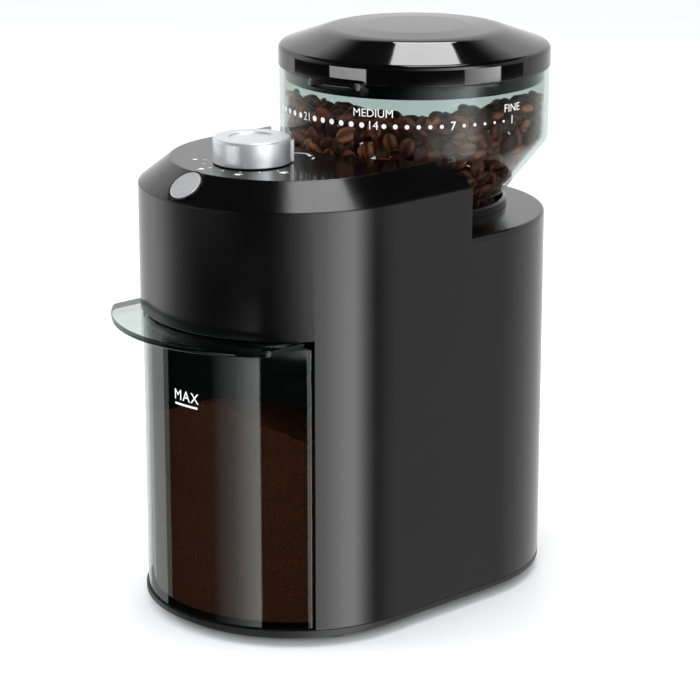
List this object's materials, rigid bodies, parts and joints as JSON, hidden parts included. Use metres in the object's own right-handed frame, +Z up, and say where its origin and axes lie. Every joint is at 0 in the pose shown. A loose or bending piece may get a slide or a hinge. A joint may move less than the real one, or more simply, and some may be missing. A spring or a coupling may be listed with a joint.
{
  "type": "burr coffee grinder",
  "caption": "Electric burr coffee grinder: gloss-black rounded housing, clear bean hopper with lid on a rear deck, silver selector knob, clear pull-out container with a lip.",
  "frame": {"origin": "on the table, at the middle of the body's outline", "axes": "+Z up, -Y towards the front where the container pulls out, +X to the right of someone facing the front"},
  "size_m": [0.13, 0.223, 0.245],
  "materials": {
    "black_gloss": "high gloss moulded ABS",
    "black_matte": "fine spark-eroded texture",
    "clear_plastic": "clear, faintly green styrene acrylonitrile",
    "smoked_plastic": "clear, grey-green tinted styrene acrylonitrile",
    "satin_silver": "satin silver paint on plastic",
    "rubber_black": "matt rubber",
    "grey_nylon": "glass-filled nylon",
    "white_nylon": "natural acetal",
    "burr_steel": "ground hardened steel",
    "bright_steel": "zinc-plated or ground steel",
    "motor_steel": "zinc-plated can",
    "brass": "machined brass",
    "board_green": "solder-resist green",
    "switch_blue": "moulded switch body"
  },
  "bodies": {
    "grinder_body": {"base_plate": "black_matte", "feet": "rubber_black", "base_screws": "bright_steel", "main_housing": "black_gloss", "container_bay": "black_matte", "control_panel": "black_gloss", "rear_deck": "black_gloss", "hopper_collar": "black_gloss", "collar_screws": "bright_steel", "grinding_chamber": "grey_nylon", "exit_chute": "grey_nylon", "chamber_bearing": "bright_steel", "lower_bearing": "bright_steel", "idler_pin": "bright_steel", "gearbox_housing": "grey_nylon", "bearing_plate": "grey_nylon", "gearbox_cover": "grey_nylon", "gearbox_screws": "bright_steel", "motor_can": "motor_steel", "motor_cushion": "rubber_black", "selector_switch": "switch_blue", "button_bezel": "black_gloss", "button_spring": "bright_steel", "start_switch": "black_matte", "control_board": "board_green", "board_screws": "bright_steel", "cord_gland": "rubber_black"},
    "grind_adjuster": {"adjusting_ring": "grey_nylon"},
    "burr_set": {"burr_carrier": "white_nylon", "upper_burr": "burr_steel", "upper_burr_screws": "bright_steel"},
    "bean_hopper": {"hopper": "clear_plastic"},
    "lid": {"hopper_lid": "black_gloss"},
    "grounds_container": {"container": "clear_plastic", "container_lid": "smoked_plastic"},
    "cup_selector": {"selector_knob": "satin_silver", "knob_shaft": "white_nylon"},
    "start_key": {"start_button": "satin_silver"},
    "burr_rotor": {"burr_shaft": "bright_steel", "lower_burr": "burr_steel", "sweeper": "white_nylon", "feed_impeller": "white_nylon", "burr_nut": "bright_steel", "output_gear": "white_nylon"},
    "idler": {"idler_gear": "white_nylon"},
    "motor_rotor": {"motor_shaft": "bright_steel", "motor_pinion": "brass"}
  },
  "joints": [
    {"name": "grind_turn", "type": "hinge", "parent": "grinder_body", "child": "grind_adjuster", "pos_m": [0, 0.0414, 0.15], "axis": [0, 0, 1], "range_deg": [-90.25, 38]},
    {"name": "burr_rise", "type": "slide", "parent": "grind_adjuster", "child": "burr_set", "axis": [0, 0, 1], "range_m": [-0.001, 0.0005]},
    {"name": "hopper_lift", "type": "slide", "parent": "grind_adjuster", "child": "bean_hopper", "axis": [0, 0, 1], "range_m": [0, 0.06]},
    {"name": "lid_lift", "type": "slide", "parent": "bean_hopper", "child": "lid", "axis": [0, 0, 1], "range_m": [0, 0.05]},
    {"name": "container_pull", "type": "slide", "parent": "grinder_body", "child": "grounds_container", "axis": [0, -1, 0], "range_m": [0, 0.12]},
    {"name": "knob_turn", "type": "hinge", "parent": "grinder_body", "child": "cup_selector", "pos_m": [0, -0.053, 0.2], "axis": [0, 0, 1], "range_deg": [-180, 0]},
    {"name": "button_press", "type": "slide", "parent": "grinder_body", "child": "start_key", "axis": [0, 0.6131, -0.79], "range_m": [0, 0.0015], "stiffness_N_per_m": 400, "springref_m": -0.002, "deforming": ["button_spring"]},
    {"name": "burr_spin", "type": "hinge", "parent": "grinder_body", "child": "burr_rotor", "pos_m": [0, 0.0414, 0.11], "axis": [0, 0, 1], "continuous": true},
    {"name": "idler_spin", "type": "hinge", "parent": "grinder_body", "child": "idler", "pos_m": [0.02475, 0.01665, 0.08], "axis": [0, 0, 1], "continuous": true},
    {"name": "motor_spin", "type": "hinge", "parent": "grinder_body", "child": "motor_rotor", "pos_m": [0.00354, 0.03786, 0.07], "axis": [0, 0, 1], "continuous": true}
  ],
  "couplings": [
    {"joint": "burr_rise", "follows": "grind_turn", "m_per_rad": 0.00057296},
    {"joint": "idler_spin", "follows": "burr_spin", "ratio": -4},
    {"joint": "motor_spin", "follows": "burr_spin", "ratio": 16}
  ]
}
